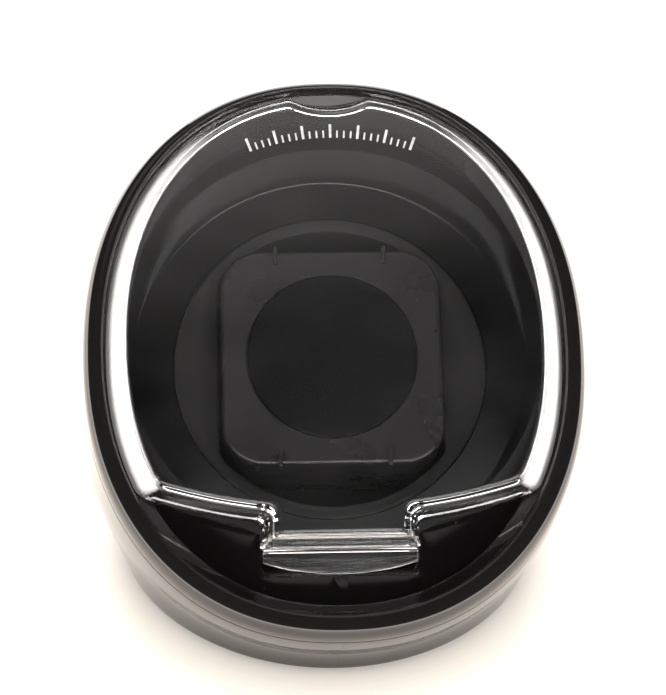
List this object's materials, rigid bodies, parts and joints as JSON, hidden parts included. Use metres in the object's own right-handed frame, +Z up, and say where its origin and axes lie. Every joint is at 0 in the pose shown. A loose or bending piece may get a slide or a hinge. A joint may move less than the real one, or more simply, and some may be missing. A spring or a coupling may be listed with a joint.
{
  "type": "watch winder box",
  "caption": "Tilted egg-shaped case on a round foot, with a clear hinged lid over a round opening where a geared cup slowly turns a pull-out watch carrier.",
  "frame": {"origin": "centre of the round foot, on the surface that the box stands on", "axes": "+Z up; the face and its lid look up and forward, towards -Y; +X is to the right seen from the front"},
  "size_m": [0.1238, 0.1363, 0.1076],
  "materials": {
    "case_gloss": "high gloss black",
    "bezel_gloss": "high gloss black",
    "plate_gloss": "gloss black",
    "lid_clear": "clear acrylic, polished",
    "pin_steel": "bright drawn",
    "cup_plastic": "satin black",
    "shaft_steel": "ground",
    "gear_plastic": "natural acetal",
    "clip_steel": "oiled spring steel",
    "bush_bronze": "sintered bronze",
    "carrier_plastic": "satin black",
    "pad_velour": "short flocked pile",
    "frame_plastic": "moulded, fine texture",
    "screw_steel": "zinc plated",
    "motor_steel": "plated can",
    "pinion_brass": "machined",
    "cover_plastic": "fine texture",
    "foot_rubber": "matte",
    "panel_plastic": "fine texture",
    "inlet_plastic": "satin",
    "switch_steel": "tinned",
    "slider_plastic": "satin",
    "board_green": "solder mask",
    "chip_plastic": "moulded epoxy"
  },
  "bodies": {
    "case": {"left_shell": "case_gloss", "right_shell": "case_gloss", "front_bezel": "bezel_gloss", "face_plate": "plate_gloss", "hinge_pin": "pin_steel", "spindle_bush": "bush_bronze", "drive_frame": "frame_plastic", "frame_posts": "frame_plastic", "frame_screws": "screw_steel", "gearhead": "motor_steel", "motor_can": "motor_steel", "motor_screws": "screw_steel", "foot_ring": "bezel_gloss", "bottom_cover": "cover_plastic", "cover_screws": "screw_steel", "rubber_feet": "foot_rubber", "rear_panel": "panel_plastic", "dc_inlet": "inlet_plastic", "direction_switch": "switch_steel", "program_switch": "switch_steel", "controller_board": "board_green", "board_parts": "chip_plastic"},
    "lid_body": {"lid": "lid_clear"},
    "cup_body": {"turning_cup": "cup_plastic", "spindle": "shaft_steel", "spindle_gear": "gear_plastic", "spindle_clip": "clip_steel"},
    "carrier_body": {"carrier_front": "carrier_plastic", "carrier_back": "carrier_plastic", "carrier_pad": "pad_velour"},
    "pinion_body": {"motor_pinion": "pinion_brass"},
    "direction_knob": {"direction_slider": "slider_plastic"},
    "program_knob": {"program_slider": "slider_plastic"}
  },
  "joints": [
    {"name": "lid_hinge", "type": "hinge", "parent": "case", "child": "lid_body", "pos_m": [0, -0.04705, 0.03687], "axis": [1, 0, 0], "range_deg": [0, 68]},
    {"name": "cup_spin", "type": "hinge", "parent": "case", "child": "cup_body", "pos_m": [0, 0.00187, 0.05103], "axis": [0, -0.5878, 0.809], "continuous": true},
    {"name": "pinion_spin", "type": "hinge", "parent": "case", "child": "pinion_body", "pos_m": [0.01448, 0.03548, 0.03997], "axis": [0, -0.5878, 0.809], "continuous": true},
    {"name": "carrier_lift", "type": "slide", "parent": "cup_body", "child": "carrier_body", "axis": [0, -0.5878, 0.809], "range_m": [0, 0.012]},
    {"name": "direction_slide", "type": "slide", "parent": "case", "child": "direction_knob", "axis": [1, 0, 0], "range_m": [0, 0.002]},
    {"name": "program_slide", "type": "slide", "parent": "case", "child": "program_knob", "axis": [1, 0, 0], "range_m": [0, 0.002]}
  ],
  "couplings": [
    {"joint": "pinion_spin", "follows": "cup_spin", "ratio": -5}
  ]
}
